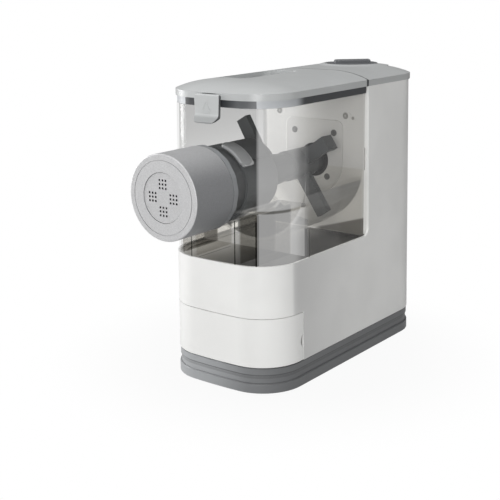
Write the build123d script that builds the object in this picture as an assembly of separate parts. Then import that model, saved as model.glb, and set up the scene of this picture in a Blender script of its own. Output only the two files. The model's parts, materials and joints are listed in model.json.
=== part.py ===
from build123d import *
import os
from math import atan2, cos, pi, radians, sin, sqrt, tan

# Electric pasta maker. Millimetres, +Z up, front of the machine along -Y.
# The origin is under the middle of the machine, on the table.

# overall form
body_width = 136.4
body_length = 286.1
y_front = -111.1
cap_overhang = 63.9
wall_draft = 0.86
front_bow_radius = 519.5
front_corner_radius = 42.8
rear_bow_radius = 86.6
rear_corner_radius = 41.0
wall = 2.6
seam_gap = 0.5
running_gap = 0.4
fitting_gap = 0.15
snug_gap = 0.05
turning_gap = 0.08
least_corner = 3.0

# heights, stacked from the table up
foot_proud = 1.0
flange_height = 9.5
waist_height = 7.9
collar_height = 6.5
neck_height = 0.8
drawer_height = 47.3
deck_rise = 48.0
rim_rise = 2.05
axis_rise = 71.05
bowl_rise = 71.0
gasket_height = 6.9
edge_height = 6.0
crown_rise = 8.0
knob_rise = 4.5

# skirt
waist_inset = 1.6
collar_inset = 0.7
neck_inset = 2.2
skirt_wall = 4.0
deck_thickness = 2.4
base_plate_bottom = 2.6
base_plate_thickness = 2.4
foot_radius = 9.0
foot_side_inset = 26.2
foot_front_inset = 43.1
foot_rear_inset = 63.0
post_x = 24.0
post_front_inset = 19.1
post_rear_inset = 47.0
post_radius = 4.2
screw_radius = 1.6
screw_head_radius = 3.2
screw_head_height = 1.3
screw_slot_depth = 0.6
screw_slot_width = 0.8
vent_count = 9
vent_pitch = 7.0
vent_width = 3.0
vent_length = 46.0
vent_rear_inset = 83.0

# column and bulkhead
column_depth = 119.0
return_width = 5.2
return_depth = 2.4
bulkhead_thickness = 2.4
drive_cover_half = 34.5
drive_cover_rise = 41.5
drive_cover_corner = 7.0
cover_screw_x = 24.0
cover_screw_rise = 29.1
cover_screw_lower_x = 16.0
cover_screw_fall = 16.5
cover_screw_radius = 3.3
cover_screw_proud = 0.5
cover_socket_radius = 1.2
boss_inset = 19.45
boss_rise = 47.5
boss_radius = 3.5
boss_proud = 0.6
pip_step = 6.5
pip_fall = 2.2
pip_radius = 2.2
return_slot_fall = 5.1
return_slot_rise = 16.9
return_slot_depth = 1.6
opening_corner = 7.0

# drawer
drawer_wrap = 50.0
drawer_corner_radius = 3.0
scoop_height = 13.8
scoop_drop = 27.9
scoop_depth = 4.2
tray_side_gap = 12.2
tray_rear_gap = 8.0
tray_wall = 2.0
tray_height = 40.0
tray_float = 0.6
rail_width = 2.4
rail_height = 12.0
bay_setback = 8.0
bay_wall = 2.0

# mixing chamber
chamber_inset = 1.0
chamber_wall = 2.4
chamber_rear_gap = 2.5
chamber_rear_wall = 2.2
trough_inset = 0.6
trough_wall = 2.2
port_gap = 0.3
port_lip = 2.6
port_lip_depth = 3.4
trough_front_inset = 62.6
catch_half = 10.0
catch_drop = 9.1
catch_height = 2.5
catch_proud = 0.7

# extrusion tube, lock, cap and disc
tube_radius = 33.0
tube_wall = 5.5
tube_reach = 59.1
dome_length = 11.0
dome_gap = 2.0
dome_edge = 3.0
dome_wall = 4.0
dome_round = 5.0
collar_gap = 0.7
collar_width = 5.8
collar_proud = 5.2
collar_sides = 16
ridge_proud = 4.6
ridge_low_angle = 40.0
ridge_high_angle = 84.0
ridge_end_gap = 3.0
feed_width = 26.0
feed_length = 28.0
lock_gap = 1.8
lock_width = 14.5
lock_thickness = 2.6
tab_thickness = 2.8
tab_low_angle = 31.0
tab_high_angle = 79.0
tab_corner = 2.4
cap_wall = 5.47
cap_length = 49.5
cap_lip = 3.0
cap_round = 1.2
groove_radius = 32.93
groove_width = 0.6
groove_depth = 0.5
disc_face_radius = 22.15
disc_gap = 0.3
disc_flange_gap = 3.0
disc_face_sink = 0.4
disc_thickness = 4.0
die_hole_width = 1.8
die_hole_pitch = 3.5
die_group_radius = 12.0

# paddle and screw
screw_core = 12.5
flight_gap = 0.6
screw_pitch = 36.0
screw_flight_width = 4.0
screw_setback = 5.2
screw_rear_gap = 6.0
neck_front_radius = 17.0
neck_rear_radius = 13.4
neck_gap = 7.0
shaft_seat = 14.0
hub_length = 40.0
hub_radius = 15.0
hub_bevel = 1.5
blade_gap = 3.8
blade_width = 13.0
blade_thickness = 7.0
blade_setback = 10.0
blade_angle = 120.0
rear_arm_setback = 17.0
lower_arm_angle = -56.0
lower_arm_width = 14.0
upper_arm_angle = 34.0
upper_arm_reach = 42.5
upper_arm_width = 15.0
lip_length = 9.0
lip_thickness = 5.0
coupling_length = 12.0
coupling_radius = 13.0
coupling_ring_step = 3.0
coupling_ring_width = 1.0
seal_gap = 0.3
seal_width = 3.9
seal_proud = 1.3
seal_round = 0.6
shaft_radius = 6.0
shaft_bevel = 0.8

# gear train
coarse_module = 1.75
fine_module = 1.5
output_teeth = 48
pinion_teeth = 12
wheel_teeth = 36
pressure_angle = 20.0
upward = 90.0
backlash = 0.3
output_gear_gap = 3.0
output_gear_width = 12.0
gear_pocket_depth = 3.0
gear_hub_wall = 5.0
pinion_lead = 1.0
pinion_extra = 2.5
wheel_gap = 1.5
wheel_width = 6.0
gear_bore_gap = 0.05
idler_radius = 4.0
motor_shaft_radius = 3.0
case_wall = 2.6
case_end_gap = 3.0
case_clearance = 2.2
plate_thickness = 3.0
bush_wall = 3.0
motor_radius = 33.0
motor_wall = 2.2
motor_rear_room = 26.0
motor_window_radius = 3.0
motor_window_count = 8
rotor_gap = 8.8
rotor_end_gap = 12.0
fan_gap = 1.5
fan_radius = 26.0
fan_blades = 7
fan_blade_thickness = 1.6
fan_blade_pitch = 30.0
fan_width = 8.0
fan_hub_radius = 8.0
shaft_overrun = 3.0

# lid, latch, rear cover and knob
shell_skin = 2.4
seam_lead = 0.6
lid_gap = 0.6
rear_overhang = 3.0
crown_reach = 46.0
crown_fullness = 2.4
crown_steps = (0.0, 3.0, 8.0, 16.0, 28.0)
bridge_setback = 9.0
gasket_inset = 1.4
gasket_width = 3.2
gasket_gap = 0.3
recess_width = 42.0
recess_front_inset = 54.1
recess_rear_inset = 24.4
recess_depth = 8.5
recess_corner = 9.0
pour_slot_width = 8.0
pour_slot_margin = 16.0
tongue_x = 30.0
tongue_width = 12.0
tongue_reach = 4.5
tongue_drop = 3.9
tongue_thickness = 3.0
latch_half = 14.4
latch_taper = 1.2
latch_x = -2.4
latch_top_drop = 1.4
latch_flat_over = 1.8
latch_lip_drop = 6.6
latch_thickness = 2.8
latch_proud = 3.9
latch_flare = 5.4
latch_corner = 7.0
latch_top_corner = 2.0
latch_round = 1.2
pin_drop = 2.4
pin_inset = 3.0
pin_radius = 1.2
pin_overrun = 2.4
knuckle_half = 8.0
knuckle_radius = 2.2
knuckle_arm_drop = 0.6
holder_wall = 3.0
hook_gap = 0.3
hook_height = 2.3
hook_reach = 0.7
knob_setback = 48.0
knob_collar_radius = 38.5
knob_collar_foot = 49.0
knob_collar_top = 29.5
knob_collar_rise = 1.2
dish_depth = 1.6
knob_disc_gap = 1.2
knob_disc_radius = 27.0
knob_disc_rise = 2.6
knob_disc_round = 0.8
grip_length = 38.0
grip_width = 11.0
grip_turn = 40.0
grip_round = 1.2
spindle_radius = 3.0
spindle_grip = 6.0
board_drop = 34.4
board_thickness = 1.6
board_side_gap = 22.2
board_ahead = 31.0
board_behind = 21.0
capacitor_radius = 5.0
capacitor_height = 12.0
capacitor_inset = 12.0
connector_x = 30.0
connector_width = 12.0
connector_depth = 10.0
connector_height = 9.0
connector_inset = 4.0
bracket_lap = 4.0
bracket_length = 24.0
bracket_thickness = 3.0
bracket_rise = 16.0
switch_size = 22.0
switch_height = 14.0
lid_switch_width = 13.0
lid_switch_depth = 10.0
lid_switch_height = 18.0
lid_switch_rise = 8.0
gland_x = -30.0
gland_rise = 20.3
gland_radius = 6.0
gland_bore = 3.4
gland_proud = 2.4
gland_depth = 9.0
gland_round = 1.2

# levels worked out from the sizes above
lean = tan(radians(wall_draft))
flange_top = foot_proud + flange_height
waist_top = flange_top + waist_height
collar_top = waist_top + collar_height
skirt_top = collar_top + neck_height
drawer_top = skirt_top + drawer_height
deck_top = drawer_top + deck_rise
rim_top = deck_top + rim_rise
axis_z = rim_top + axis_rise
chamber_top = axis_z + bowl_rise
housing_top = chamber_top + gasket_height
crease_top = housing_top + edge_height
crown_top = crease_top + crown_rise
knob_top = crown_top + knob_rise
catch_low_z = chamber_top - catch_drop
latch_top = crease_top - latch_top_drop
latch_flat_low = catch_low_z + latch_flat_over
latch_low = latch_flat_low - latch_lip_drop
pin_z = latch_top - pin_drop
dish_floor = crown_top - dish_depth
knob_disc_top = dish_floor + knob_disc_rise
board_z = dish_floor - board_drop

# places along the machine, worked out from the sizes above
y_rear = y_front + body_length
mid_y = (y_rear + y_front) / 2
column_front_y = y_rear - column_depth
chamber_rear_y = column_front_y - chamber_rear_gap
bay_rear_y = column_front_y - bay_setback
seam_y = column_front_y - seam_lead
drawer_wrap_y = y_front + drawer_wrap
chamber_face_y = y_front + chamber_inset + axis_z * lean
trough_front_y = y_front + trough_front_inset
cap_face_y = y_front - cap_overhang
cap_rear_y = cap_face_y + cap_length
collar_front_y = cap_rear_y + collar_gap
collar_rear_y = collar_front_y + collar_width
disc_rear_y = cap_face_y + cap_lip + running_gap + disc_thickness
tube_nose_y = disc_rear_y + running_gap
tube_tail_y = y_front + tube_reach
dome_end_y = tube_tail_y + dome_length
lock_front_y = chamber_face_y + port_lip_depth + lock_gap
lock_rear_y = lock_front_y + lock_width
neck_front_y = dome_end_y + neck_gap
hub_rear_y = column_front_y - coupling_length
hub_front_y = hub_rear_y - hub_length
knob_y = y_rear - knob_setback
board_front_y = knob_y - board_ahead
board_rear_y = knob_y + board_behind
case_front_y = column_front_y + bulkhead_thickness
output_gear_front = case_front_y + case_wall + output_gear_gap
compound_pinion_front = output_gear_front - pinion_lead
compound_pinion_width = output_gear_width + pinion_extra
wheel_front = compound_pinion_front + compound_pinion_width + wheel_gap
case_rear_y = wheel_front + wheel_width + case_end_gap
plate_rear_y = case_rear_y + plate_thickness
motor_rear_y = y_rear - motor_rear_room

# widths and radii worked out from the sizes above
chamber_half = body_width / 2 - axis_z * lean - chamber_inset - chamber_wall
trough_radius = chamber_half - trough_inset
port_radius = tube_radius + port_gap
tube_bore = tube_radius - tube_wall
dome_opening = neck_front_radius + dome_gap
mouth_half = body_width / 2 - axis_z * lean - return_width
panel_half = mouth_half - fitting_gap
boss_x = panel_half - boss_inset
tray_half = body_width / 2 - tray_side_gap
cap_radius = tube_radius + turning_gap + cap_wall
blade_tip_radius = trough_radius - blade_gap
seal_radius = coupling_radius + seal_gap + seal_width
dish_radius = knob_disc_radius + knob_disc_gap
board_half = body_width / 2 - board_side_gap
compound_z = axis_z - coarse_module * (output_teeth + pinion_teeth) / 2
motor_z = compound_z - fine_module * (wheel_teeth + pinion_teeth) / 2


def outline(inset=0.0, rear_shift=0.0):
    """Plan of the body at floor level, drawn in by an inset."""
    half = body_width / 2 - inset
    bow_y = y_rear + rear_shift - rear_bow_radius
    ahead = Pos(0, y_front + front_bow_radius) * Circle(front_bow_radius - inset)
    behind = Pos(0, bow_y) * Circle(rear_bow_radius - inset)
    behind += Pos(0, bow_y - body_length / 2) * Rectangle(2 * (rear_bow_radius - inset), body_length)
    block = Pos(0, mid_y + rear_shift / 2) * Rectangle(2 * half, body_length + rear_shift)
    plan = block & ahead & behind
    front_corners = plan.vertices().sort_by(Axis.Y)[:2]
    plan = fillet(front_corners, max(front_corner_radius - inset, least_corner))
    rear_corners = plan.vertices().sort_by(Axis.Y)[-2:]
    return fillet(rear_corners, max(rear_corner_radius - inset, least_corner))


def envelope(inset, low, high):
    """Solid inside the leaning body walls between two levels."""
    return extrude(Pos(0, 0, low) * outline(inset + low * lean), high - low, taper=wall_draft)


def slab(x_low, x_high, y_low, y_high, z_low, z_high):
    """Box between given limits."""
    box = Box(x_high - x_low, y_high - y_low, z_high - z_low)
    return Pos((x_low + x_high) / 2, (y_low + y_high) / 2, (z_low + z_high) / 2) * box


def behind_y(y_low):
    """Large block covering everything behind a plane."""
    return slab(-body_width, body_width, y_low, 2 * y_rear, -body_width, 2 * knob_top)


def before_y(y_high):
    """Large block covering everything in front of a plane."""
    return slab(-body_width, body_width, 2 * cap_face_y, y_high, -body_width, 2 * knob_top)


def rod(radius, y_low, y_high, x=0.0, z=axis_z):
    """Round bar along Y."""
    return Pos(x, (y_low + y_high) / 2, z) * Rot(90, 0, 0) * Cylinder(radius, y_high - y_low)


def pipe(outer, bore, y_low, y_high, x=0.0, z=axis_z):
    """Round ring along Y."""
    return rod(outer, y_low, y_high, x, z) - rod(bore, y_low - 1, y_high + 1, x, z)


def cone(front_radius, rear_radius, y_low, y_high):
    """Tapered bar along Y on the machine axis."""
    shape = Rot(90, 0, 0) * Cone(rear_radius, front_radius, y_high - y_low)
    return Pos(0, (y_low + y_high) / 2, axis_z) * shape


def stand(radius, z_low, z_high, x, y):
    """Round bar along Z."""
    return Pos(x, y, (z_low + z_high) / 2) * Cylinder(radius, z_high - z_low)


def facing(profile, y_front_face, depth):
    """Solid with a profile drawn in X and Z, running rearward."""
    plane = Plane(origin=(0, y_front_face, 0), x_dir=(1, 0, 0), z_dir=(0, -1, 0))
    return extrude(plane * profile, -depth)


def sideways(points, half_width, x=0.0):
    """Solid with a profile given in Y and Z, running across X."""
    plane = Plane(origin=(x - half_width, 0, 0), x_dir=(0, 1, 0), z_dir=(1, 0, 0))
    return extrude(plane * make_face(Polyline(*points, close=True)), 2 * half_width)


def post_places():
    """Four upright screw posts inside the skirt."""
    rows = (y_front + post_front_inset, y_rear - post_rear_inset)
    return [(x, y) for x in (-post_x, post_x) for y in rows]


def make_base_skirt():
    bands = envelope(0, foot_proud, flange_top)
    bands = fillet(bands.faces().sort_by(Axis.Z)[-1].edges(), waist_inset * 0.9)
    bands += envelope(waist_inset, flange_top, waist_top)
    bands += envelope(collar_inset, waist_top, collar_top)
    bands += envelope(neck_inset, collar_top, skirt_top)
    bands -= envelope(skirt_wall, foot_proud - 1, skirt_top - deck_thickness)
    plate_top = base_plate_bottom + base_plate_thickness
    for x, y in post_places():
        bands += stand(post_radius, plate_top, skirt_top - deck_thickness, x, y)
        bands -= stand(screw_radius + snug_gap, foot_proud, skirt_top - deck_thickness, x, y)
    return bands


def make_base_plate():
    top = base_plate_bottom + base_plate_thickness
    plate = envelope(skirt_wall + seam_gap / 2, base_plate_bottom, top)
    for number in range(vent_count):
        x = (number - (vent_count - 1) / 2) * vent_pitch
        slot = Pos(x, y_rear - vent_rear_inset, (base_plate_bottom + top) / 2) * Rot(0, 0, 90)
        plate -= slot * extrude(SlotOverall(vent_length, vent_width), top, both=True)
    for x, y in post_places():
        plate -= stand(screw_radius + snug_gap, 0, top + 1, x, y)
    return plate


def make_base_screws():
    low = base_plate_bottom - screw_head_height
    high = skirt_top - deck_thickness - post_radius
    screws = Part()
    for x, y in post_places():
        screw = stand(screw_radius, base_plate_bottom, high, x, y)
        screw += stand(screw_head_radius, low, base_plate_bottom, x, y)
        screws += screw - Pos(x, y, low) * Box(2 * screw_radius, screw_slot_width, 2 * screw_slot_depth)
    return screws


def make_rubber_feet():
    feet = Part()
    foot_x = body_width / 2 - foot_side_inset
    for x in (-foot_x, foot_x):
        for y in (y_front + foot_front_inset, y_rear - foot_rear_inset):
            foot = stand(foot_radius, 0, base_plate_bottom, x, y)
            feet += fillet(foot.faces().sort_by(Axis.Z)[0].edges(), 0.8)
    return feet


def bowl_space(gap):
    """Everything in front of the column and above the rim, rounded where the two meet."""
    block = slab(-body_width, body_width, 2 * cap_face_y, column_front_y - gap, rim_top, 2 * knob_top)
    corner = block.edges().filter_by(Axis.X).group_by(Axis.Y)[-1].sort_by(Axis.Z)[0]
    return fillet(corner, opening_corner - gap)


def make_housing_shell():
    shell = envelope(0, skirt_top, housing_top) - bowl_space(0)
    room = envelope(wall, skirt_top - 1, housing_top + 1)
    lining = slab(-body_width, body_width, column_front_y, column_front_y + return_depth,
                  rim_top, housing_top + 2)
    lining -= slab(-mouth_half, mouth_half, column_front_y - 1, column_front_y + return_depth + 1,
                   rim_top - 1, housing_top + 3)
    shell -= room - lining
    gap = seam_gap
    shell -= slab(-body_width, body_width, 2 * y_front, drawer_wrap_y + gap, 0, drawer_top + gap)
    shell -= rod(gland_radius + snug_gap, mid_y + body_length / 4, y_rear, gland_x, skirt_top + gland_rise)
    for side in (-1, 1):
        lens = slab(side * mouth_half - 1, side * mouth_half + 1, column_front_y - 1,
                    column_front_y + return_slot_depth, axis_z - return_slot_fall, axis_z + return_slot_rise)
        shell -= lens
    return shell


def make_bay_frame():
    deck = envelope(wall + fitting_gap, deck_top - deck_thickness, deck_top)
    deck &= before_y(case_front_y - running_gap)
    back = envelope(wall + fitting_gap, skirt_top, deck_top - deck_thickness)
    back &= slab(-body_width, body_width, bay_rear_y, bay_rear_y + bay_wall, 0, deck_top)
    frame = deck + back
    pocket = envelope(wall + 6, deck_top - 1.2, deck_top + 1) & before_y(chamber_rear_y)
    return frame - pocket


def make_drawer_rails():
    rails = Part()
    for side in (-1, 1):
        inner = side * (tray_half + running_gap)
        outer = side * (tray_half + running_gap + rail_width)
        rails += slab(min(inner, outer), max(inner, outer), drawer_wrap_y + 8, bay_rear_y,
                      skirt_top, skirt_top + rail_height)
    return rails


def drawer_bottom():
    return skirt_top + tray_float


def make_drawer_front():
    front = envelope(0, drawer_bottom(), drawer_top) - envelope(wall, 0, drawer_top + 1)
    front &= before_y(drawer_wrap_y)
    scoop_mid = drawer_top - scoop_drop
    scoop_half = scoop_height / 2
    scoop_radius = (scoop_half ** 2 + scoop_depth ** 2) / (2 * scoop_depth)
    centre_y = drawer_wrap_y + scoop_radius - scoop_depth
    cutter = Pos(0, centre_y, scoop_mid) * Rot(0, 90, 0) * Cylinder(scoop_radius, 2 * body_width)
    front -= cutter
    upper = front.edges().filter_by(Axis.X).group_by(Axis.Z)[-1]
    back_edges = [edge for edge in upper if edge.center().Y > drawer_wrap_y - 1]
    return fillet(back_edges, drawer_corner_radius)


def make_drawer_tray():
    low = drawer_bottom()
    tray_rear_y = bay_rear_y - tray_rear_gap
    inner = envelope(wall + snug_gap, low, drawer_top) & before_y(drawer_wrap_y)
    inner &= slab(-tray_half, tray_half, 2 * y_front, drawer_wrap_y, 0, low + tray_height)
    body = inner + slab(-tray_half, tray_half, drawer_wrap_y, tray_rear_y, low, low + tray_height)
    hollow = envelope(wall + tray_wall, low, drawer_top) & before_y(drawer_wrap_y)
    half = tray_half - tray_wall
    hollow &= slab(-half, half, 2 * y_front, drawer_wrap_y, 0, drawer_top)
    hollow += slab(-half, half, drawer_wrap_y, tray_rear_y - tray_wall, 0, drawer_top)
    hollow &= slab(-half, half, 2 * y_front, y_rear, low + tray_wall, drawer_top)
    return body - hollow


def drive_cover_profile(grow=0.0):
    """Plate with square shoulders and a round foot, in X and Z."""
    half = drive_cover_half + grow
    top = axis_z + drive_cover_rise + grow
    upper = Pos(0, (top + axis_z) / 2) * Rectangle(2 * half, top - axis_z)
    upper = fillet(upper.vertices().sort_by(Axis.Y)[-2:], drive_cover_corner + grow)
    foot = Pos(0, axis_z) * Circle(half)
    return upper + foot


def cover_screw_places():
    upper = [(x, axis_z + cover_screw_rise) for x in (-cover_screw_x, cover_screw_x)]
    lower = [(x, axis_z - cover_screw_fall) for x in (-cover_screw_lower_x, cover_screw_lower_x)]
    return upper + lower


def make_bulkhead_panel():
    panel = slab(-panel_half, panel_half, column_front_y, column_front_y + bulkhead_thickness,
                 deck_top + 2 * snug_gap, housing_top)
    panel -= facing(drive_cover_profile(seam_gap), column_front_y - 1, bulkhead_thickness + 2)
    for side in (-1, 1):
        panel += rod(boss_radius, column_front_y - boss_proud, column_front_y,
                     side * boss_x, axis_z + boss_rise)
        panel += rod(pip_radius, column_front_y - boss_proud, column_front_y,
                     side * (boss_x + pip_step), axis_z + boss_rise - pip_fall)
    return panel


def make_drive_cover():
    cover = facing(drive_cover_profile(), column_front_y, bulkhead_thickness)
    cover -= rod(seal_radius, column_front_y - 1, case_front_y + 1)
    for x, z in cover_screw_places():
        cover -= rod(screw_radius + snug_gap, column_front_y - 1, case_front_y + 1, x, z)
    return cover


def make_drive_cover_screws():
    screws = Part()
    for x, z in cover_screw_places():
        screw = rod(cover_screw_radius, column_front_y - cover_screw_proud, column_front_y, x, z)
        screw += rod(screw_radius, column_front_y, case_front_y + case_wall, x, z)
        screws += screw - rod(cover_socket_radius, column_front_y - 2 * cover_screw_proud,
                              column_front_y + cover_screw_proud, x, z)
    return screws


def make_mixing_chamber():
    walls = envelope(chamber_inset, rim_top, chamber_top) & bowl_space(chamber_rear_gap)
    room = envelope(chamber_inset + chamber_wall, rim_top - 1, chamber_top + 1)
    room &= before_y(chamber_rear_y - chamber_rear_wall)
    chamber = walls - room + (trough() & room & walls) + port_ring()
    chamber -= rod(port_radius, 2 * y_front, chamber_face_y + port_lip_depth + 1)
    chamber -= rod(seal_radius + seal_gap, 0, 2 * chamber_rear_y)
    catch_front = y_front + chamber_inset + (catch_low_z + catch_height) * lean - catch_proud
    return chamber + slab(latch_x - catch_half, latch_x + catch_half, catch_front,
                          catch_front + 2 * catch_proud, catch_low_z, catch_low_z + catch_height)


def trough():
    """Half-round bottom of the bowl, open at its front end."""
    shape = rod(trough_radius + trough_wall, trough_front_y, chamber_rear_y)
    shape -= rod(trough_radius, trough_front_y - 1, 2 * chamber_rear_y)
    return shape & slab(-body_width, body_width, trough_front_y, chamber_rear_y, 0, axis_z)


def port_ring():
    """Ring round the tube's port in the front wall."""
    return pipe(port_radius + port_lip, port_radius, chamber_face_y - 1, chamber_face_y + port_lip_depth)


def arc_block(inner, outer, angle_low, angle_high, y_low, y_high):
    """Part of a ring round the machine axis between two angles."""
    middle = radians((angle_low + angle_high) / 2)
    spread = radians((angle_high - angle_low) / 2)
    reach = 2 * outer
    wedge = Polyline((0, 0),
                     (reach * cos(middle - spread), reach * sin(middle - spread)),
                     (reach * cos(middle), reach * sin(middle)),
                     (reach * cos(middle + spread), reach * sin(middle + spread)),
                     close=True)
    ring = Circle(outer) - Circle(inner)
    return facing(Pos(0, axis_z) * (ring & make_face(wedge)), y_low, y_high - y_low)


def make_extrusion_tube():
    tube = rod(tube_radius, tube_nose_y, tube_tail_y)
    dome = cone(tube_radius, dome_opening + dome_edge, tube_tail_y, dome_end_y)
    tube = fillet((tube + dome).edges().filter_by(GeomType.CIRCLE).sort_by(Axis.Y)[-2:], dome_round)
    tube += arc_block(tube_radius - 1, tube_radius + ridge_proud, ridge_low_angle, ridge_high_angle,
                      lock_rear_y + collar_gap, tube_tail_y - ridge_end_gap)
    inner_tail_y = tube_tail_y - dome_wall
    tube -= rod(tube_bore, tube_nose_y - 1, inner_tail_y)
    tube -= cone(tube_bore, dome_opening, inner_tail_y, dome_end_y - dome_wall / 2)
    tube -= rod(dome_opening, dome_end_y - dome_wall, dome_end_y + 1)
    window = slab(-2 * tube_radius, -tube_radius / 2, inner_tail_y - feed_length, inner_tail_y,
                  axis_z - feed_width / 2, axis_z + feed_width / 2)
    return tube - window


def make_tube_lock():
    inner = tube_radius + turning_gap
    outer = inner + lock_thickness
    ring = pipe(outer, inner, lock_front_y, lock_rear_y)
    tab = arc_block(outer - 1, outer + tab_thickness, tab_low_angle, tab_high_angle,
                    lock_front_y, lock_rear_y)
    corners = tab.edges().filter_by(GeomType.LINE)
    corners = [edge for edge in corners if abs(edge.tangent_at(0.5).Y) < 0.5]
    tab = fillet(corners, tab_corner)
    return ring + tab


def make_tube_collar():
    collar_radius = tube_radius + collar_proud
    ring = RegularPolygon(collar_radius, collar_sides, major_radius=False)
    ring -= Circle(tube_radius)
    solid = facing(Pos(0, axis_z) * ring, collar_front_y, collar_width)
    return solid & rod(collar_radius + running_gap, collar_front_y, collar_rear_y)


def make_front_cap():
    cap = rod(cap_radius, cap_face_y, cap_rear_y)
    cap = fillet(cap.edges().filter_by(GeomType.CIRCLE).sort_by(Axis.Y)[0], cap_round)
    cap -= rod(tube_radius + turning_gap, cap_face_y + cap_lip, cap_rear_y + 1)
    cap -= rod(disc_face_radius + disc_gap, cap_face_y - 1, cap_face_y + cap_lip + 1)
    groove = pipe(groove_radius + groove_width / 2, groove_radius - groove_width / 2,
                  cap_face_y - 1, cap_face_y + groove_depth)
    return cap - groove


def die_hole_places():
    """Four square groups of nine holes round the middle of the disc."""
    steps = (-die_hole_pitch, 0.0, die_hole_pitch)
    centres = [(die_group_radius, 0), (-die_group_radius, 0), (0, die_group_radius), (0, -die_group_radius)]
    return [(x + dx, z + dz) for x, z in centres for dx in steps for dz in steps]


def make_shaping_disc():
    front = cap_face_y + disc_face_sink
    profile = Pos(0, axis_z) * Circle(disc_face_radius)
    for x, z in die_hole_places():
        profile -= Pos(x, axis_z + z) * Rectangle(die_hole_width, die_hole_width)
    disc = facing(profile, front, disc_rear_y - front)
    return disc + pipe(tube_radius - disc_flange_gap, disc_face_radius - 1,
                       disc_rear_y - disc_thickness, disc_rear_y)


def make_auger_screw():
    screw_front_y = tube_nose_y + screw_setback
    screw_rear_y = tube_tail_y - screw_rear_gap
    core = rod(screw_core, screw_front_y, neck_front_y)
    core += cone(screw_core, neck_front_radius, screw_rear_y, neck_front_y)
    core -= rod(shaft_radius + snug_gap, neck_front_y - shaft_seat, neck_front_y + 1)
    turns = (screw_rear_y - screw_front_y - screw_flight_width) / screw_pitch
    flight = Part()
    steps = int(turns * 2)
    length = screw_pitch / 2 + 1.5
    for number in range(steps):
        start = screw_front_y + screw_flight_width / 2 + number * screw_pitch / 2
        flight += helix_strip(start, length, number * 180.0)
    return core + flight


def helix_strip(start_y, length, start_angle):
    """Half a turn of the screw's flight."""
    path = Helix(screw_pitch, length, screw_core - 1)
    depth = tube_bore - flight_gap - screw_core + 1
    section = Plane(origin=path @ 0, z_dir=path % 0, x_dir=(1, 0, 0)) * (
        Pos(depth / 2, 0) * Rectangle(depth, screw_flight_width))
    strip = sweep(section, path=path, is_frenet=True)
    return Pos(0, start_y, axis_z) * Rot(-90, 0, 0) * Rot(0, 0, start_angle) * strip


def radial_arm(angle, reach, width, y_low, y_high):
    """Flat arm pointing outward from the machine axis."""
    arm = slab(0, reach, y_low, y_high, -width / 2, width / 2)
    return Pos(0, 0, axis_z) * Rot(0, -angle, 0) * arm


def make_mixing_paddle():
    neck = cone(neck_front_radius, neck_rear_radius, neck_front_y, hub_front_y)
    hub = rod(hub_radius, hub_front_y, hub_rear_y)
    hub = chamfer(hub.edges().filter_by(GeomType.CIRCLE), hub_bevel)
    paddle = neck + hub
    half = blade_thickness / 2
    blade_y = neck_front_y + blade_setback
    rear_arm_y = hub_rear_y - rear_arm_setback
    paddle += radial_arm(blade_angle, blade_tip_radius, blade_width, blade_y - half, blade_y + half)
    paddle += radial_arm(lower_arm_angle, blade_tip_radius, lower_arm_width,
                         rear_arm_y - half, rear_arm_y + half)
    paddle += radial_arm(upper_arm_angle, upper_arm_reach, upper_arm_width,
                         rear_arm_y - half, rear_arm_y + half)
    lip = slab(upper_arm_reach - lip_thickness, upper_arm_reach, rear_arm_y, rear_arm_y + half + lip_length,
               -upper_arm_width / 2, upper_arm_width / 2)
    paddle += Pos(0, 0, axis_z) * Rot(0, -upper_arm_angle, 0) * lip
    return paddle - rod(shaft_radius + snug_gap, neck_front_y - 1, hub_rear_y + 1)


def make_drive_coupling():
    coupling = rod(coupling_radius, hub_rear_y, column_front_y)
    for step in (1, 2):
        radius = coupling_radius + coupling_ring_width - step * coupling_ring_step
        coupling -= pipe(radius, radius - coupling_ring_width, hub_rear_y - 1,
                         hub_rear_y + coupling_ring_width)
    return coupling - rod(shaft_radius + snug_gap, hub_rear_y - 1, column_front_y + 1)


def make_shaft_seal():
    seal = pipe(seal_radius, coupling_radius + seal_gap, column_front_y - seal_proud,
                case_front_y - 2 * snug_gap)
    return fillet(seal.edges().filter_by(GeomType.CIRCLE).sort_by(Axis.Y)[:1], seal_round)


def make_output_shaft():
    shaft = rod(shaft_radius, neck_front_y - shaft_seat + 2, plate_rear_y + 2 * bush_wall)
    return chamfer(shaft.edges().filter_by(GeomType.CIRCLE), shaft_bevel)


def flank(radius, base_radius):
    """Angle the involute has turned through at a radius."""
    ratio = max(1.0, radius / base_radius)
    roll = sqrt(ratio ** 2 - 1)
    return roll - atan2(roll, 1)


def gear_profile(teeth, module, first_angle):
    """Spur gear outline with involute teeth, drawn round the origin."""
    pitch_radius = teeth * module / 2
    base_radius = pitch_radius * cos(radians(pressure_angle))
    root_radius = pitch_radius - 1.2 * module
    tip_radius = pitch_radius + 0.85 * module
    half_tooth = pi / (2 * teeth) - backlash / (2 * pitch_radius)
    half_base = half_tooth + flank(pitch_radius, base_radius)
    low = max(root_radius, base_radius)
    radii = [low + (tip_radius - low) * step / 3 for step in range(4)]
    points = []
    for tooth in range(teeth):
        centre = radians(first_angle) + 2 * pi * tooth / teeth
        rising = [(radius, centre - half_base + flank(radius, base_radius)) for radius in radii]
        falling = [(radius, 2 * centre - angle) for radius, angle in reversed(rising)]
        foot = [(root_radius, rising[0][1])] if root_radius < low else []
        heel = [(root_radius, falling[-1][1])] if root_radius < low else []
        for radius, angle in foot + rising + falling + heel:
            points.append((radius * cos(angle), radius * sin(angle)))
    return make_face(Polyline(*points, close=True))


def gear(teeth, module, first_angle, y_low, width, centre_z):
    """Spur gear with its axis along Y; the angle is measured from +X towards +Z."""
    return facing(Pos(0, centre_z) * gear_profile(teeth, module, first_angle), y_low, width)


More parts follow.
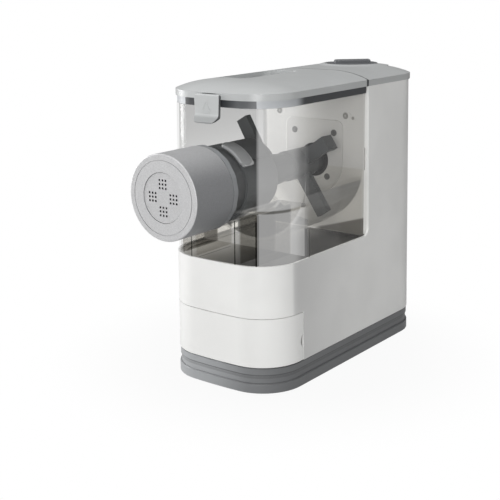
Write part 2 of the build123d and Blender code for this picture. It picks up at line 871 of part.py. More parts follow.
def make_output_gear():
    wheel = gear(output_teeth, coarse_module, -upward, output_gear_front, output_gear_width, axis_z)
    rim = output_teeth * coarse_module / 2 - 4 * coarse_module
    hub = shaft_radius + gear_hub_wall
    back = output_gear_front + output_gear_width
    wheel -= pipe(rim, hub, output_gear_front - 1, output_gear_front + gear_pocket_depth)
    wheel -= pipe(rim, hub, back - gear_pocket_depth, back + 1)
    return wheel - rod(shaft_radius + snug_gap, output_gear_front - 1, back + 1)


def make_compound_gear():
    first = upward + 180.0 / pinion_teeth
    pinion = gear(pinion_teeth, coarse_module, first, compound_pinion_front,
                  compound_pinion_width, compound_z)
    wheel = gear(wheel_teeth, fine_module, -upward, wheel_front, wheel_width, compound_z)
    link = rod(pinion_teeth * coarse_module / 2 - 1.2 * coarse_module, compound_pinion_front,
               wheel_front + 1, 0, compound_z)
    both = pinion + wheel + link
    return both - rod(idler_radius + gear_bore_gap, case_front_y, case_rear_y, 0, compound_z)


def make_idler_pin():
    pin = rod(idler_radius, case_front_y + case_wall, plate_rear_y, 0, compound_z)
    return chamfer(pin.edges().filter_by(GeomType.CIRCLE), shaft_bevel / 2)


def make_motor_pinion():
    first = upward + 180.0 / pinion_teeth
    pinion = gear(pinion_teeth, fine_module, first, wheel_front - seam_gap,
                  wheel_width + 2 * seam_gap, motor_z)
    return pinion - rod(motor_shaft_radius + snug_gap, case_front_y, case_rear_y, 0, motor_z)


def gearbox_outline(grow):
    """Smooth hull round the three gear circles, in X and Z."""
    big = output_teeth * coarse_module / 2 + coarse_module + grow
    middle = wheel_teeth * fine_module / 2 + fine_module + grow
    small = pinion_teeth * fine_module / 2 + fine_module + grow
    circles = [Pos(0, axis_z) * Circle(big), Pos(0, compound_z) * Circle(middle),
               Pos(0, motor_z) * Circle(small)]
    edges = [circle.edges()[0] for circle in circles]
    return make_hull(edges)


def make_gearbox_case():
    case = facing(gearbox_outline(case_clearance + case_wall), case_front_y, case_rear_y - case_front_y)
    case -= facing(gearbox_outline(case_clearance), case_front_y + case_wall, case_rear_y)
    case -= rod(shaft_radius + bush_wall, case_front_y - 1, case_front_y + case_wall + 1)
    for x, z in cover_screw_places():
        case -= rod(screw_radius + snug_gap, case_front_y - 1, case_front_y + case_wall + 1, x, z)
    return case


def make_gearbox_plate():
    plate = facing(gearbox_outline(case_clearance + case_wall), case_rear_y, plate_thickness)
    plate += rod(motor_radius, case_rear_y, plate_rear_y, 0, motor_z)
    plate -= rod(shaft_radius + bush_wall, case_rear_y - 1, plate_rear_y + 1)
    plate -= rod(idler_radius + snug_gap, case_rear_y - 1, plate_rear_y + 1, 0, compound_z)
    return plate - rod(motor_shaft_radius + bush_wall, case_rear_y - 1, plate_rear_y + 1, 0, motor_z)


def make_shaft_bushes():
    front = pipe(shaft_radius + bush_wall - snug_gap, shaft_radius + snug_gap,
                 case_front_y, case_front_y + case_wall + 1)
    rear = pipe(shaft_radius + bush_wall - snug_gap, shaft_radius + snug_gap, case_rear_y - 1, plate_rear_y)
    motor = pipe(motor_shaft_radius + bush_wall - snug_gap, motor_shaft_radius + snug_gap,
                 case_rear_y, plate_rear_y, 0, motor_z)
    return front + rear + motor


def make_motor_can():
    can = rod(motor_radius, plate_rear_y, motor_rear_y, 0, motor_z)
    can -= rod(motor_radius - motor_wall, plate_rear_y - 1, motor_rear_y - motor_wall, 0, motor_z)
    can -= rod(motor_shaft_radius + running_gap / 2, plate_rear_y, motor_rear_y + 1, 0, motor_z)
    ring = (motor_radius + fan_hub_radius) / 2
    for number in range(motor_window_count):
        turned = Pos(0, 0, motor_z) * Rot(0, 360.0 * number / motor_window_count, 0)
        window = rod(motor_window_radius, motor_rear_y - 2 * motor_wall, motor_rear_y + 1, ring, 0)
        can -= turned * window
    return can


def make_motor_rotor():
    shaft = rod(motor_shaft_radius, wheel_front - 2 * seam_gap, motor_rear_y + fan_width + shaft_overrun,
                0, motor_z)
    return shaft + rod(motor_radius - motor_wall - rotor_gap, plate_rear_y + rotor_end_gap,
                       motor_rear_y - rotor_end_gap, 0, motor_z)


def make_cooling_fan():
    low = motor_rear_y + fan_gap
    high = low + fan_width
    fan = rod(fan_hub_radius, low, high, 0, motor_z)
    for number in range(fan_blades):
        blade = slab(fan_hub_radius - 1, fan_radius, -fan_width / 2, fan_width / 2,
                     -fan_blade_thickness / 2, fan_blade_thickness / 2)
        turned = Pos(0, (low + high) / 2, motor_z) * Rot(0, 360.0 * number / fan_blades, 0)
        fan += turned * Rot(fan_blade_pitch, 0, 0) * blade
    fan &= rod(fan_radius, low, high, 0, motor_z)
    return fan - rod(motor_shaft_radius + snug_gap, low - 1, high + 1, 0, motor_z)


def cushion(drop=0.0, inset=0.0):
    """Crowned top shared by the lid and the rear cover."""
    at_crease = crease_top * lean + inset
    low = extrude(Pos(0, 0, housing_top) * outline(at_crease, rear_overhang), crease_top - housing_top - drop)
    sections = []
    for step in (*crown_steps, crown_reach):
        up = 1 - (1 - step / crown_reach) ** crown_fullness
        plan = outline(at_crease + step, rear_overhang)
        sections.append(Pos(0, 0, crease_top - drop + crown_rise * up) * plan)
    return low + loft(sections)


def top_shell():
    """Hollow crowned shell for the lid and the rear cover."""
    return cushion() - cushion(shell_skin, shell_skin)


def lid_rear_y():
    return seam_y - lid_gap / 2


def recess_span():
    """Front and rear ends of the pour recess."""
    return y_front + recess_front_inset, seam_y - recess_rear_inset


def recess_profile(grow):
    front, rear = recess_span()
    length = rear - front + 2 * grow
    middle = (rear + front) / 2
    return Pos(-recess_width / 2, middle) * RectangleRounded(recess_width + 2 * grow, length,
                                                             recess_corner + grow)


def make_lid():
    lid = top_shell() & before_y(lid_rear_y())
    inner = cushion(shell_skin, shell_skin) & slab(-body_width, body_width, lid_rear_y() - shell_skin,
                                                   lid_rear_y(), housing_top, crown_top)
    lid += inner
    floor = crown_top - recess_depth
    well = extrude(Pos(0, 0, floor - shell_skin) * recess_profile(shell_skin), recess_depth + 2 * shell_skin)
    lid += well & cushion() & before_y(lid_rear_y())
    lid -= extrude(Pos(0, 0, floor) * recess_profile(0), 2 * recess_depth)
    front, rear = recess_span()
    slot = Pos(-recess_width / 2, (rear + front) / 2, floor) * Rot(0, 0, 90)
    slot_length = rear - front - 2 * pour_slot_margin
    lid -= slot * extrude(SlotOverall(slot_length, pour_slot_width), 3 * shell_skin, both=True)
    for side in (-1, 1):
        low = crown_top - tongue_drop - tongue_thickness
        lid += slab(side * tongue_x - tongue_width / 2, side * tongue_x + tongue_width / 2,
                    lid_rear_y() - shell_skin, seam_y + tongue_reach, low, low + tongue_thickness)
    front = y_front + crease_top * lean
    half = knuckle_half + running_gap
    back = front + pin_inset + knuckle_radius + running_gap
    pocket = slab(latch_x - half, latch_x + half, front - 1, back,
                  housing_top - 1, pin_z + knuckle_radius + 2 * running_gap)
    half = knuckle_half + holder_wall
    holder = slab(latch_x - half, latch_x + half, front + 1, back + holder_wall - 1,
                  housing_top, pin_z + knuckle_radius + holder_wall)
    lid += holder & cushion()
    lid -= pocket
    return lid - pin_bar(pin_radius, knuckle_half + pin_overrun)


def pin_bar(radius, half):
    """Bar across X at the latch pivot."""
    y = y_front + crease_top * lean + pin_inset
    return Pos(latch_x, y, pin_z) * Rot(0, 90, 0) * Cylinder(radius, 2 * half)


def make_latch_pin():
    return pin_bar(pin_radius, knuckle_half + pin_overrun)


def make_lid_gasket():
    low = chamber_top + gasket_gap
    at_top = housing_top * lean
    outer = extrude(Pos(0, 0, low) * outline(at_top + gasket_inset), housing_top - low)
    inner = extrude(Pos(0, 0, low) * outline(at_top + gasket_inset + gasket_width), housing_top - low)
    back = chamber_rear_y
    return (outer & before_y(back)) - (inner & before_y(back - gasket_width))


def make_lid_latch():
    wall_y = y_front + crease_top * lean
    face = wall_y - latch_proud
    back = face + latch_thickness
    tip = face - latch_flare
    points = [(back, latch_top), (face + latch_round, latch_top), (face, latch_top - latch_round),
              (face, latch_flat_low + latch_round), (face - latch_round, latch_flat_low - latch_round),
              (tip, latch_low + latch_round), (tip + latch_round / 2, latch_low),
              (tip + latch_thickness, latch_low + latch_round / 2), (back, latch_flat_low - 2 * latch_round)]
    plate = sideways(points, latch_half, latch_x)
    low_half = latch_half - latch_taper
    trim = make_face(Polyline((latch_x - latch_half, latch_top), (latch_x + latch_half, latch_top),
                              (latch_x + low_half, latch_low), (latch_x - low_half, latch_low), close=True))
    trim = fillet(trim.vertices().sort_by(Axis.Y)[:2], latch_corner)
    trim = fillet(trim.vertices().sort_by(Axis.Y)[-2:], latch_top_corner)
    plate &= facing(trim, 2 * y_front, body_length)
    pivot_y = wall_y + pin_inset
    knuckle = slab(latch_x - knuckle_half, latch_x + knuckle_half, back - 1, pivot_y,
                   pin_z - knuckle_radius, pin_z + knuckle_radius - knuckle_arm_drop)
    knuckle += Pos(latch_x, pivot_y, pin_z) * Rot(0, 90, 0) * Cylinder(knuckle_radius, 2 * knuckle_half)
    plate += knuckle
    hook_top = catch_low_z - hook_gap
    hook = slab(latch_x - catch_half + 1, latch_x + catch_half - 1, back - 1, back + hook_reach,
                hook_top - hook_height, hook_top)
    plate += hook
    return plate - pin_bar(pin_radius + snug_gap, 2 * knuckle_half)


def make_rear_cover():
    front = seam_y + lid_gap / 2
    cover = top_shell() & behind_y(front)
    bridge_y = front + bridge_setback
    bridge = cushion(shell_skin, shell_skin) & slab(-body_width, body_width, bridge_y,
                                                    bridge_y + shell_skin, housing_top, crown_top)
    cover += bridge
    low = dish_floor - shell_skin
    rim = crown_top + knob_collar_rise
    collar = Pos(0, knob_y, (low + rim) / 2) * Cone(knob_collar_foot, knob_collar_top, rim - low)
    collar &= stand(knob_collar_radius, low, rim, 0, knob_y)
    cover += collar & cushion(-knob_collar_rise)
    cover -= stand(dish_radius, dish_floor, 2 * knob_top, 0, knob_y)
    return cover - stand(spindle_radius + running_gap, 0, knob_top, 0, knob_y)


def make_control_knob():
    base = stand(knob_disc_radius, dish_floor + running_gap, knob_disc_top, 0, knob_y)
    base = fillet(base.faces().sort_by(Axis.Z)[-1].edges(), knob_disc_round)
    bar = Rectangle(grip_length, grip_width)
    bar = fillet(bar.vertices().sort_by(Axis.X)[:2], grip_width * 0.45)
    grip = extrude(Pos(0, 0, knob_disc_top - 1) * bar, knob_top - knob_disc_top + 1)
    grip = fillet(grip.faces().sort_by(Axis.Z)[-1].edges(), grip_round)
    spindle = stand(spindle_radius, board_z + board_thickness + switch_height - spindle_grip,
                    dish_floor + 1, 0, knob_y)
    return base + Pos(0, knob_y, 0) * Rot(0, 0, grip_turn) * grip + spindle


def make_control_board():
    top = board_z + board_thickness
    board = slab(-board_half, board_half, board_front_y, board_rear_y, board_z, top)
    low = board_front_y + connector_inset
    for side in (-1, 1):
        board += stand(capacitor_radius, top, top + capacitor_height,
                       side * (board_half - capacitor_inset), board_rear_y - capacitor_inset)
        middle = side * connector_x
        board += slab(middle - connector_width / 2, middle + connector_width / 2,
                      low, low + connector_depth, top, top + connector_height)
    return board


def make_board_brackets():
    """Two angle brackets from the column's side walls to the board's edges."""
    inset = wall + fitting_gap
    low = board_z - bracket_thickness
    arm = envelope(inset, low, board_z)
    upright = envelope(inset, board_z, board_z + bracket_rise)
    upright -= envelope(inset + bracket_thickness, board_z - 1, board_z + bracket_rise + 1)
    side = slab(board_half - bracket_lap, body_width, board_front_y, board_front_y + bracket_length,
                low, board_z + bracket_rise)
    bracket = (arm + upright) & side
    return bracket + mirror(bracket, Plane.YZ)


def make_rotary_switch():
    low = board_z + board_thickness
    body = slab(-switch_size / 2, switch_size / 2, knob_y - switch_size / 2, knob_y + switch_size / 2,
                low, low + switch_height)
    body = chamfer(body.edges().filter_by(Axis.Z), 2.0)
    return body - stand(spindle_radius + snug_gap, low + switch_height - spindle_grip - seam_gap,
                        low + switch_height + 1, 0, knob_y)


def make_lid_switch():
    y = case_front_y
    low = axis_z + boss_rise + lid_switch_rise
    body = slab(boss_x - boss_radius, boss_x - boss_radius + lid_switch_width, y, y + lid_switch_depth,
                low, low + lid_switch_height)
    return body - rod(screw_radius, y - 1, y + lid_switch_depth + 1, boss_x, low + boss_radius)


def make_cord_gland():
    gland_z = skirt_top + gland_rise
    reach = rear_bow_radius - gland_z * lean
    surface = y_rear - rear_bow_radius + sqrt(reach ** 2 - gland_x ** 2)
    gland = rod(gland_radius, surface - gland_depth, surface + gland_proud, gland_x, gland_z)
    gland = fillet(gland.edges().filter_by(GeomType.CIRCLE).sort_by(Axis.Y)[-1], gland_round)
    return gland - rod(gland_bore, surface - gland_depth - 1, surface + gland_proud + 1, gland_x, gland_z)


PIECES = {
    "base_skirt": make_base_skirt,
    "base_plate": make_base_plate,
    "base_screws": make_base_screws,
    "rubber_feet": make_rubber_feet,
    "housing_shell": make_housing_shell,
    "bay_frame": make_bay_frame,
    "drawer_rails": make_drawer_rails,
    "drawer_front": make_drawer_front,
    "drawer_tray": make_drawer_tray,
    "bulkhead_panel": make_bulkhead_panel,
    "drive_cover": make_drive_cover,
    "drive_cover_screws": make_drive_cover_screws,
    "shaft_seal": make_shaft_seal,
    "mixing_chamber": make_mixing_chamber,
    "extrusion_tube": make_extrusion_tube,
    "tube_lock": make_tube_lock,
    "tube_collar": make_tube_collar,
    "front_cap": make_front_cap,
    "shaping_disc": make_shaping_disc,
    "auger_screw": make_auger_screw,
    "mixing_paddle": make_mixing_paddle,
    "drive_coupling": make_drive_coupling,
    "output_shaft": make_output_shaft,
    "output_gear": make_output_gear,
    "compound_gear": make_compound_gear,
    "idler_pin": make_idler_pin,
    "motor_pinion": make_motor_pinion,
    "gearbox_case": make_gearbox_case,
    "gearbox_plate": make_gearbox_plate,
    "shaft_bushes": make_shaft_bushes,
    "motor_can": make_motor_can,
    "motor_rotor": make_motor_rotor,
    "cooling_fan": make_cooling_fan,
    "lid": make_lid,
    "lid_gasket": make_lid_gasket,
    "lid_latch": make_lid_latch,
    "latch_pin": make_latch_pin,
    "rear_cover": make_rear_cover,
    "control_knob": make_control_knob,
    "control_board": make_control_board,
    "board_brackets": make_board_brackets,
    "rotary_switch": make_rotary_switch,
    "lid_switch": make_lid_switch,
    "cord_gland": make_cord_gland,
}

os.makedirs("parts", exist_ok=True)
for name, make in PIECES.items():
    export_step(make(), f"parts/{name}.step")
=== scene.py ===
import json
import math

import bmesh
import bpy
from mathutils import Matrix, Vector
from mathutils.bvhtree import BVHTree


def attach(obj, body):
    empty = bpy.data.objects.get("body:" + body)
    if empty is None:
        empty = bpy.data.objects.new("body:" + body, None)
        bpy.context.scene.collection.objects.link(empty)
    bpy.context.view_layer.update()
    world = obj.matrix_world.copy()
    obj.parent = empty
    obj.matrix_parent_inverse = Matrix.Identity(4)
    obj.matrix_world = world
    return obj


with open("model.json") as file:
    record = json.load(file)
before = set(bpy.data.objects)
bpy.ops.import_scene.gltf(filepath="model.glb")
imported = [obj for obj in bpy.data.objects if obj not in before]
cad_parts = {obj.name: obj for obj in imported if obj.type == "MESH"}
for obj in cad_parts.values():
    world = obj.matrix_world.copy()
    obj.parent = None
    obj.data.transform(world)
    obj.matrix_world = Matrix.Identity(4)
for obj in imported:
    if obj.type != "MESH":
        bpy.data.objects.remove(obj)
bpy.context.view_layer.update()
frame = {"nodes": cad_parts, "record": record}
parts = frame["nodes"]
scene = bpy.context.scene

# places of the machine, in metres
TUBE_AXIS = 0.1941
SEAM = 0.0554

# clear bed under the tube, in metres
BED_FOOT = 0.1232
LEDGE_TOP = 0.1735
CROSS_WALL = -0.0485
CRADLE_FRONT = -0.1030
CRADLE_INNER = 0.03638
CRADLE_OUTER = 0.03838
BED_WALL = 0.0022
RIB = 0.0014
RIB_UNDER_CRADLE = 0.0265
RIB_AT_SIDE = 0.0445


# ---------------------------------------------------------------- camera

IMAGE_SIZE = 500
FOCAL_PIXELS = 1029.475
SENSOR_WIDTH = 36.0
CAMERA_TURN = (37.844, 14.93, -0.899)
CAMERA_PLACE = (0.589973, -0.813405, 0.377837)


def turntable(azimuth, elevation):
    """Direction from the middle of a turntable to a camera or lamp round it."""
    az, el = math.radians(azimuth), math.radians(elevation)
    return Vector((math.sin(az) * math.cos(el), -math.cos(az) * math.cos(el), math.sin(el)))


def basis(azimuth, elevation, roll):
    """Right, up and backward directions of a camera on a turntable."""
    turn = math.radians(roll)
    back = turntable(azimuth, elevation)
    right = (-back).cross(Vector((0, 0, 1))).normalized()
    up = right.cross(-back)
    return (right * math.cos(turn) + up * math.sin(turn),
            up * math.cos(turn) - right * math.sin(turn), back)


def set_camera():
    """Camera at the machine's front right, a little above its top."""
    data = bpy.data.cameras.new("camera")
    camera = bpy.data.objects.new("camera", data)
    scene.collection.objects.link(camera)
    turn = Matrix(basis(*CAMERA_TURN)).transposed().to_4x4()
    camera.matrix_world = Matrix.Translation(Vector(CAMERA_PLACE)) @ turn
    data.sensor_width = SENSOR_WIDTH
    data.lens = FOCAL_PIXELS * SENSOR_WIDTH / IMAGE_SIZE
    data.clip_start = 0.02
    scene.camera = camera


set_camera()
scene.view_settings.view_transform = "Standard"


# ---------------------------------------------------------------- recipes for materials

BLACK = (0.0, 0.0, 0.0, 1.0)
WHITE = (1.0, 1.0, 1.0, 1.0)


def tone(red, green, blue):
    """Display colour, 0 to 255, as the scene's linear colour."""
    linear = []
    for value in (red, green, blue):
        level = value / 255
        linear.append(level / 12.92 if level <= 0.04045 else ((level + 0.055) / 1.055) ** 2.4)
    return (*linear, 1.0)


def shaded(colour, share, lift=0.0):
    """A linear colour made darker or lighter, never above white."""
    return tuple(min(1.0, level * share + lift) for level in colour[:3]) + (1.0,)


class Value:
    """A socket that can be used in sums."""

    def __init__(self, recipe, socket):
        self.recipe = recipe
        self.socket = socket

    def _sum(self, operation, *terms):
        return self.recipe.use("ShaderNodeMath", {"operation": operation}, dict(enumerate(terms)))

    def __add__(self, other):
        return self._sum("ADD", self, other)

    def __sub__(self, other):
        return self._sum("SUBTRACT", self, other)

    def __rsub__(self, other):
        return self._sum("SUBTRACT", other, self)

    def __mul__(self, other):
        return self._sum("MULTIPLY", self, other)

    def __pow__(self, other):
        return self._sum("POWER", self, other)

    def __rpow__(self, other):
        return self._sum("POWER", other, self)

    def __or__(self, other):
        """The larger of two, so that masks join."""
        return self._sum("MAXIMUM", self, other)

    def __lt__(self, other):
        return self._sum("LESS_THAN", self, other)

    def __gt__(self, other):
        return self._sum("GREATER_THAN", self, other)

    __radd__ = __add__
    __rmul__ = __mul__
    __ror__ = __or__

    def near(self, middle, reach):
        """One within reach of the middle, else nothing."""
        return self._sum("COMPARE", self, middle, reach)

    def size(self):
        """The value without its sign."""
        return self._sum("ABSOLUTE", self)


class Recipe:
    """Nodes of a new material or world."""

    def __init__(self, owner):
        self.owner = owner
        owner.use_nodes = True
        self.tree = owner.node_tree
        self.tree.nodes.clear()

    def use(self, kind, settings=None, values=None, out=0):
        """A new node: its settings first, then the values or links of its sockets."""
        node = self.tree.nodes.new(kind)
        for key, setting in (settings or {}).items():
            setattr(node, key, setting)
        for key, value in (values or {}).items():
            if isinstance(value, Value):
                self.tree.links.new(value.socket, node.inputs[key])
            else:
                node.inputs[key].default_value = value
        return Value(self, node.outputs[out]) if node.outputs else None

    def place(self):
        """Where a point is on the part, in metres."""
        return self.use("ShaderNodeTexCoord", out="Object")

    def axis(self, letter, position=None):
        """One coordinate of a place or direction."""
        return self.use("ShaderNodeSeparateXYZ", None, {0: position or self.place()}, out=letter)

    def facing(self, letter):
        """How far the surface looks along an axis, one for straight along it."""
        return self.axis(letter, self.use("ShaderNodeTexCoord", out="Normal"))

    def distance(self, across, rise):
        """Distance from a line that runs front to back."""
        dx = self.axis("X") - across
        dz = self.axis("Z") - rise
        return (dx * dx + dz * dz) ** 0.5

    def noise(self, scale, detail=2.0, roughness=0.5, stretch=(1, 1, 1)):
        position = self.use("ShaderNodeMapping", None, {"Vector": self.place(), "Scale": stretch})
        return self.use("ShaderNodeTexNoise", None,
                        {"Vector": position, "Scale": scale, "Detail": detail,
                         "Roughness": roughness})

    def ramp(self, value, low, high, at_low=0.0, at_high=1.0, curve="SMOOTHSTEP"):
        """From one level to another while the value goes from low to high."""
        return self.use("ShaderNodeMapRange", {"interpolation_type": curve},
                        {0: value, 1: low, 2: high, 3: at_low, 4: at_high})

    def blend(self, share, first, second):
        """Colour between two: a Mix node's colours are its sockets 6 and 7."""
        return self.use("ShaderNodeMix", {"data_type": "RGBA"},
                        {0: share, 6: first, 7: second}, out=2)

    def scaled(self, colour, share):
        return self.use("ShaderNodeVectorMath", {"operation": "SCALE"},
                        {0: colour, "Scale": share})

    def bump(self, height, strength, distance):
        return self.use("ShaderNodeBump", None,
                        {"Height": height, "Strength": strength, "Distance": distance})

    def surface(self, **values):
        named = {key.replace("_", " "): value for key, value in values.items()}
        return self.use("ShaderNodeBsdfPrincipled", None, named)

    def over(self, share, below, above):
        """One shader over another, by a share."""
        return self.use("ShaderNodeMixShader", None, {0: share, 1: below, 2: above})

    def tinted(self, *colour):
        return self.use("ShaderNodeBsdfTransparent", None, {"Color": (*colour, 1.0)})

    def glow(self, strength):
        return self.use("ShaderNodeEmission", None, {"Color": WHITE, "Strength": strength})

    def finish(self, shader, output="ShaderNodeOutputMaterial"):
        self.use(output, None, {"Surface": shader})
        return self.owner


def any_of(masks):
    """One where any of the masks is one."""
    first, *others = masks
    for mask in others:
        first = first | mask
    return first


# ---------------------------------------------------------------- materials

def handled(recipe, rough):
    """Roughness with faint handling marks."""
    return rough - 0.04 + recipe.noise(60.0, 4.0, 0.65) * 0.08


def moulded(name, colour, rough, grain=900.0, grain_depth=0.00006, mottle=0.04):
    """Moulded plastic: faint flow mottling, fine grain and handling marks in the gloss."""
    recipe = Recipe(bpy.data.materials.new(name))
    flow = recipe.ramp(recipe.noise(14.0, 3.0), 0.35, 0.65)
    return recipe.finish(recipe.surface(
        Base_Color=recipe.blend(flow, shaded(colour, 1 - mottle), shaded(colour, 1 + mottle)),
        Roughness=handled(recipe, rough),
        Normal=recipe.bump(recipe.noise(grain), 0.35, grain_depth)))


def two_tone(name, mask_of, plain, marked, rough=0.42, grain=900.0, grain_depth=0.00005,
             glow=0.0):
    """Moulded plastic whose colour changes where the mask says."""
    recipe = Recipe(bpy.data.materials.new(name))
    mask = mask_of(recipe)
    flow = recipe.ramp(recipe.noise(14.0, 3.0), 0.35, 0.65, 0.97, 1.03)
    return recipe.finish(recipe.surface(
        Base_Color=recipe.scaled(recipe.blend(mask, plain, marked), flow),
        Roughness=handled(recipe, rough),
        # a glow above nothing is painted light: the plain colour emits where the mask is low
        Emission_Color=recipe.blend(mask, plain, BLACK), Emission_Strength=glow,
        Normal=recipe.bump(recipe.noise(grain), 0.35, grain_depth)))


def speckled(name, colour, mask_of=None, marked=None):
    """Satin paint with metal flakes and a fine grain, darker where the mask says."""
    recipe = Recipe(bpy.data.materials.new(name))
    flakes = recipe.use("ShaderNodeTexVoronoi", {"feature": "F1"},
                        {"Vector": recipe.place(), "Scale": 2600.0}, out="Color")
    flake = recipe.axis("X", flakes)
    fine = recipe.noise(1500.0, 2.0, 0.6)
    speck = recipe.ramp(fine * 0.5 + flake * 0.5, 0.25, 0.75)
    base = recipe.blend(mask_of(recipe), colour, marked) if mask_of else colour[:3]
    return recipe.finish(recipe.surface(
        Base_Color=recipe.scaled(base, speck * 0.22 + 0.89),
        Roughness=0.42 + flake * 0.16,
        Metallic=0.25,
        Normal=recipe.bump(fine, 0.35, 0.00005)))


def turned_metal(name, colour, rough=0.3):
    """Machined or rolled metal with fine lines round its axis."""
    recipe = Recipe(bpy.data.materials.new(name))
    lines = recipe.noise(700.0, 3.0, 0.6, (0.05, 1.0, 0.05))
    cloud = recipe.noise(25.0, 3.0)
    return recipe.finish(recipe.surface(
        Base_Color=recipe.blend(cloud, shaded(colour, 0.85), colour), Metallic=1.0,
        Roughness=rough - 0.06 + lines * 0.16,
        Normal=recipe.bump(lines, 0.2, 0.00003)))


def soft_rubber(name, colour):
    """Black rubber with a fine grain and a little dust."""
    recipe = Recipe(bpy.data.materials.new(name))
    fine = recipe.noise(1600.0)
    dust = recipe.ramp(recipe.noise(40.0, 4.0, 0.7), 0.45, 0.75, 0.0, 0.35)
    return recipe.finish(recipe.surface(
        Base_Color=recipe.blend(dust, colour, shaded(colour, 2.2, 0.01)),
        Roughness=0.62 + fine * 0.2,
        Normal=recipe.bump(fine, 0.3, 0.00005)))


def printed_board(name):
    """Green lacquered board with copper tracks."""
    recipe = Recipe(bpy.data.materials.new(name))
    tracks = recipe.use("ShaderNodeTexBrick", None,
                        {"Vector": recipe.place(), "Scale": 90.0, "Mortar Size": 0.012,
                         "Color1": tone(20, 74, 42), "Color2": tone(18, 66, 38),
                         "Mortar": tone(60, 120, 70)}, out="Color")
    return recipe.finish(recipe.surface(
        Base_Color=tracks, Roughness=0.3 + recipe.noise(200.0) * 0.1))


# ---------------------------------------------------------------- clear bowl

BOWL_HALF_WIDTH = 0.0605
BOWL_SIDE = 0.0600
RIM_RADIUS = 0.0605
PORT_RADIUS = 0.0400
MASK_SLACK = 0.0002
# across, for each painted dark line where a rib's edge shows on the bowl's front
RIB_EDGE_SHADE_LINES = (-0.0280, 0.0240, 0.0446)


def bed_masks(recipe, radius):
    """Where the bed's walls and the trough behind it stand, each with a little to spare."""
    across, along, rise = (recipe.axis(letter) for letter in "XYZ")
    upright = recipe.facing("Z").size() < 0.2
    inside = across.size() < BOWL_HALF_WIDTH
    up_to_ledge = rise < LEDGE_TOP + 0.0003
    bed = (along > CRADLE_FRONT + 0.0005) * (along < CROSS_WALL - 0.0005)
    half_wall, half_rib = BED_WALL / 2, RIB / 2 + MASK_SLACK
    cross_wall = along.near(CROSS_WALL + half_wall, half_wall + MASK_SLACK)
    cradle = (radius < CRADLE_OUTER + MASK_SLACK) * (along < -0.0460) * (along > -0.1015)
    return {
        "cross_wall": cross_wall * up_to_ledge * inside,
        "ledge": rise.near(LEDGE_TOP - 0.0010, 0.0013) * (along < -0.0470),
        "cradle": cradle * up_to_ledge,
        "trough": (along > CROSS_WALL - 0.0010) * inside * (rise < 0.1900),
        "right_rib": across.near(RIB_UNDER_CRADLE, half_rib) * bed,
        "left_rib": across.near(-RIB_UNDER_CRADLE, half_rib) * bed,
        "side_ribs": across.size().near(RIB_AT_SIDE, half_rib) * bed * upright * (rise < 0.1700),
    }


def skin_painted_reflection(recipe):
    """Painted reflection on the outer skin, as a milky veil: most on the right front corner, a
    little at the left.
    """
    across, along = recipe.axis("X"), recipe.axis("Y")
    right = recipe.ramp(across, 0.0448, 0.0454, curve="LINEAR")
    round_corner = recipe.ramp(along, -0.070, -0.056, 0.195, 0.06, curve="LINEAR")
    past_cross_wall = recipe.ramp(along, -0.0480, -0.0470, 1.0, 0.30, curve="LINEAR")
    by_the_column = recipe.ramp(along, 0.004, 0.009, 1.0, 0.3)
    left = recipe.ramp(across, -0.052, -0.0545, 0.0, 0.12)
    return right * round_corner * past_cross_wall * by_the_column + left


